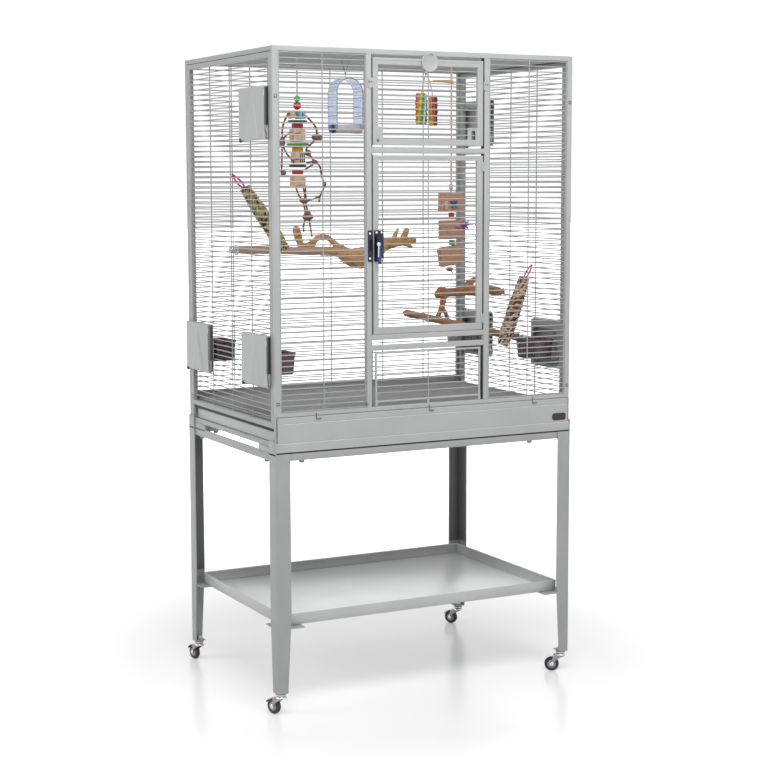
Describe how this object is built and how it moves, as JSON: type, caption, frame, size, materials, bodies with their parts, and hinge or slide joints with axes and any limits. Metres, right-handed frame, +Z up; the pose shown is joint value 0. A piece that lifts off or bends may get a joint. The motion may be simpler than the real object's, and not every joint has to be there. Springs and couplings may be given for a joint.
{
  "type": "bird cage on stand",
  "caption": "Wire flight cage for small birds on a legged stand with swivel casters and a shelf, with front doors, feeder doors, a slide-out tray and grate, perches and hanging toys.",
  "frame": {"origin": "on the floor under the middle of the cage", "axes": "+X to the right along the front, +Y from the front to the back, +Z up"},
  "size_m": [0.845, 0.5913, 1.55],
  "materials": {
    "grey_powder_coat": "satin powder coat",
    "light_grey_powder_coat": "satin powder coat",
    "dark_grey_enamel": "satin enamel on wire",
    "chrome_plate": "bright plated",
    "black_rubber": "matte tyre",
    "dark_blued_steel": "glossy dark coat",
    "brown_plastic": "moulded, slightly glossy",
    "turned_wood": "sanded, unfinished",
    "driftwood": "bare sanded branch",
    "woven_fibre": "woven fibre, matte",
    "blue_plastic": "translucent, glossy",
    "toy_wood": "dyed and bare wood",
    "coloured_weave": "woven paper strips"
  },
  "bodies": {
    "cage": {"leg_front_left": "grey_powder_coat", "leg_back_left": "grey_powder_coat", "leg_front_right": "grey_powder_coat", "leg_back_right": "grey_powder_coat", "stand_rail_front": "grey_powder_coat", "stand_rail_back": "grey_powder_coat", "stand_rail_left": "grey_powder_coat", "stand_rail_right": "grey_powder_coat", "lower_shelf": "light_grey_powder_coat", "caster_stem_front_left": "chrome_plate", "caster_stem_back_left": "chrome_plate", "caster_stem_front_right": "chrome_plate", "caster_stem_back_right": "chrome_plate", "base_frame": "grey_powder_coat", "left_panel": "grey_powder_coat", "right_panel": "grey_powder_coat", "back_panel": "grey_powder_coat", "top_panel": "grey_powder_coat", "front_frame": "light_grey_powder_coat", "front_left_grille": "light_grey_powder_coat", "front_right_grille": "light_grey_powder_coat", "latch_keeper": "dark_blued_steel", "dowel_perch_left": "turned_wood", "dowel_perch_right": "turned_wood", "branch_perch_left": "driftwood", "branch_perch_right": "driftwood", "seed_stick_left": "woven_fibre", "seed_stick_right": "woven_fibre"},
    "caster_front_left": {"caster_fork_front_left": "chrome_plate"},
    "wheel_front_left": {"caster_wheel_front_left": "black_rubber"},
    "caster_back_left": {"caster_fork_back_left": "chrome_plate"},
    "wheel_back_left": {"caster_wheel_back_left": "black_rubber"},
    "caster_front_right": {"caster_fork_front_right": "chrome_plate"},
    "wheel_front_right": {"caster_wheel_front_right": "black_rubber"},
    "caster_back_right": {"caster_fork_back_right": "chrome_plate"},
    "wheel_back_right": {"caster_wheel_back_right": "black_rubber"},
    "tray": {"tray": "grey_powder_coat"},
    "grate": {"floor_grate": "dark_grey_enamel"},
    "main_door": {"main_door": "light_grey_powder_coat", "latch_body": "dark_blued_steel"},
    "latch_lever": {"latch_lever": "dark_blued_steel"},
    "top_door": {"top_door": "light_grey_powder_coat"},
    "disc": {"disc_latch": "light_grey_powder_coat"},
    "bottom_door": {"bottom_door": "light_grey_powder_coat"},
    "feeder_door_left_upper_front": {"feeder_door_left_upper_front": "grey_powder_coat"},
    "feeder_door_left_lower_front": {"feeder_door_left_lower_front": "grey_powder_coat"},
    "feeder_door_left_lower_rear": {"feeder_door_left_lower_rear": "grey_powder_coat"},
    "feeder_door_right_upper_rear": {"feeder_door_right_upper_rear": "grey_powder_coat"},
    "feeder_door_right_lower_front": {"feeder_door_right_lower_front": "grey_powder_coat"},
    "feeder_door_right_lower_rear": {"feeder_door_right_lower_rear": "grey_powder_coat"},
    "feeder_cup_left_front": {"feeder_cup_left_front": "brown_plastic"},
    "feeder_cup_left_rear": {"feeder_cup_left_rear": "brown_plastic"},
    "feeder_cup_right_front": {"feeder_cup_right_front": "brown_plastic"},
    "feeder_cup_right_rear": {"feeder_cup_right_rear": "brown_plastic"},
    "bead_toy": {"bead_toy": "toy_wood"},
    "block_toy": {"block_toy": "toy_wood"},
    "woven_toy": {"woven_toy": "coloured_weave"},
    "swing": {"swing": "blue_plastic"}
  },
  "joints": [
    {"name": "swivel_front_left", "type": "hinge", "parent": "cage", "child": "caster_front_left", "pos_m": [-0.3915, -0.2615, 0.0475], "axis": [0, 0, 1], "continuous": true},
    {"name": "roll_front_left", "type": "hinge", "parent": "caster_front_left", "child": "wheel_front_left", "pos_m": [-0.4001, -0.24125, 0.0185], "axis": [-0.9205, -0.3907, 0], "continuous": true},
    {"name": "swivel_back_left", "type": "hinge", "parent": "cage", "child": "caster_back_left", "pos_m": [-0.3915, 0.2615, 0.0475], "axis": [0, 0, 1], "continuous": true},
    {"name": "roll_back_left", "type": "hinge", "parent": "caster_back_left", "child": "wheel_back_left", "pos_m": [-0.39607, 0.28302, 0.0185], "axis": [-0.9781, -0.2079, 0], "continuous": true},
    {"name": "swivel_front_right", "type": "hinge", "parent": "cage", "child": "caster_front_right", "pos_m": [0.3915, -0.2615, 0.0475], "axis": [0, 0, 1], "continuous": true},
    {"name": "roll_front_right", "type": "hinge", "parent": "caster_front_right", "child": "wheel_front_right", "pos_m": [0.37284, -0.24984, 0.0185], "axis": [-0.5299, -0.848, 0], "continuous": true},
    {"name": "swivel_back_right", "type": "hinge", "parent": "cage", "child": "caster_back_right", "pos_m": [0.3915, 0.2615, 0.0475], "axis": [0, 0, 1], "continuous": true},
    {"name": "roll_back_right", "type": "hinge", "parent": "caster_back_right", "child": "wheel_back_right", "pos_m": [0.37984, 0.28016, 0.0185], "axis": [-0.848, -0.5299, 0], "continuous": true},
    {"name": "tray_slide", "type": "slide", "parent": "cage", "child": "tray", "axis": [0, -1, 0], "range_m": [0, 0.45]},
    {"name": "grate_slide", "type": "slide", "parent": "cage", "child": "grate", "axis": [0, -1, 0], "range_m": [0, 0.45]},
    {"name": "main_door_hinge", "type": "hinge", "parent": "cage", "child": "main_door", "pos_m": [0.149, -0.2735, 1.098], "axis": [0, 0, 1], "range_deg": [0, 120]},
    {"name": "latch_turn", "type": "hinge", "parent": "main_door", "child": "latch_lever", "pos_m": [-0.1405, -0.285, 1.101], "axis": [0, -1, 0], "range_deg": [0, 90]},
    {"name": "top_door_hinge", "type": "hinge", "parent": "cage", "child": "top_door", "pos_m": [0, -0.2735, 1.33], "axis": [1, 0, 0], "range_deg": [0, 90]},
    {"name": "disc_turn", "type": "hinge", "parent": "top_door", "child": "disc", "pos_m": [0, -0.2735, 1.5235], "axis": [0, -1, 0], "range_deg": [0, 90]},
    {"name": "bottom_door_hinge", "type": "hinge", "parent": "cage", "child": "bottom_door", "pos_m": [0, -0.2725, 0.7175], "axis": [1, 0, 0], "range_deg": [0, 90]},
    {"name": "feeder_hinge_left_upper_front", "type": "hinge", "parent": "cage", "child": "feeder_door_left_upper_front", "pos_m": [-0.4145, -0.247, 1.4015], "axis": [0, 0, 1], "range_deg": [0, 110]},
    {"name": "feeder_hinge_left_lower_front", "type": "hinge", "parent": "cage", "child": "feeder_door_left_lower_front", "pos_m": [-0.4145, -0.247, 0.834], "axis": [0, 0, 1], "range_deg": [0, 110]},
    {"name": "feeder_hinge_left_lower_rear", "type": "hinge", "parent": "cage", "child": "feeder_door_left_lower_rear", "pos_m": [-0.4145, 0.115, 0.834], "axis": [0, 0, 1], "range_deg": [0, 110]},
    {"name": "feeder_hinge_right_upper_rear", "type": "hinge", "parent": "cage", "child": "feeder_door_right_upper_rear", "pos_m": [0.4145, 0.115, 1.4015], "axis": [0, 0, -1], "range_deg": [0, 110]},
    {"name": "feeder_hinge_right_lower_front", "type": "hinge", "parent": "cage", "child": "feeder_door_right_lower_front", "pos_m": [0.4145, -0.247, 0.834], "axis": [0, 0, -1], "range_deg": [0, 110]},
    {"name": "feeder_hinge_right_lower_rear", "type": "hinge", "parent": "cage", "child": "feeder_door_right_lower_rear", "pos_m": [0.4145, 0.115, 0.834], "axis": [0, 0, -1], "range_deg": [0, 110]},
    {"name": "feeder_cup_left_front_lift", "type": "slide", "parent": "cage", "child": "feeder_cup_left_front", "axis": [0, 0, 1], "range_m": [0, 0.045]},
    {"name": "feeder_cup_left_rear_lift", "type": "slide", "parent": "cage", "child": "feeder_cup_left_rear", "axis": [0, 0, 1], "range_m": [0, 0.045]},
    {"name": "feeder_cup_right_front_lift", "type": "slide", "parent": "cage", "child": "feeder_cup_right_front", "axis": [0, 0, 1], "range_m": [0, 0.045]},
    {"name": "feeder_cup_right_rear_lift", "type": "slide", "parent": "cage", "child": "feeder_cup_right_rear", "axis": [0, 0, 1], "range_m": [0, 0.045]},
    {"name": "bead_toy_sway", "type": "hinge", "parent": "cage", "child": "bead_toy", "pos_m": [-0.217, 0, 1.543], "axis": [1, 0, 0], "range_deg": [-15, 15]},
    {"name": "block_toy_sway", "type": "hinge", "parent": "cage", "child": "block_toy", "pos_m": [0.216, 0, 1.543], "axis": [1, 0, 0], "range_deg": [-15, 15]},
    {"name": "woven_toy_sway", "type": "hinge", "parent": "cage", "child": "woven_toy", "pos_m": [0.142, 0, 1.543], "axis": [1, 0, 0], "range_deg": [-20, 20]},
    {"name": "swing_sway", "type": "hinge", "parent": "cage", "child": "swing", "pos_m": [-0.0855, 0, 1.543], "axis": [1, 0, 0], "range_deg": [-30, 30]}
  ]
}
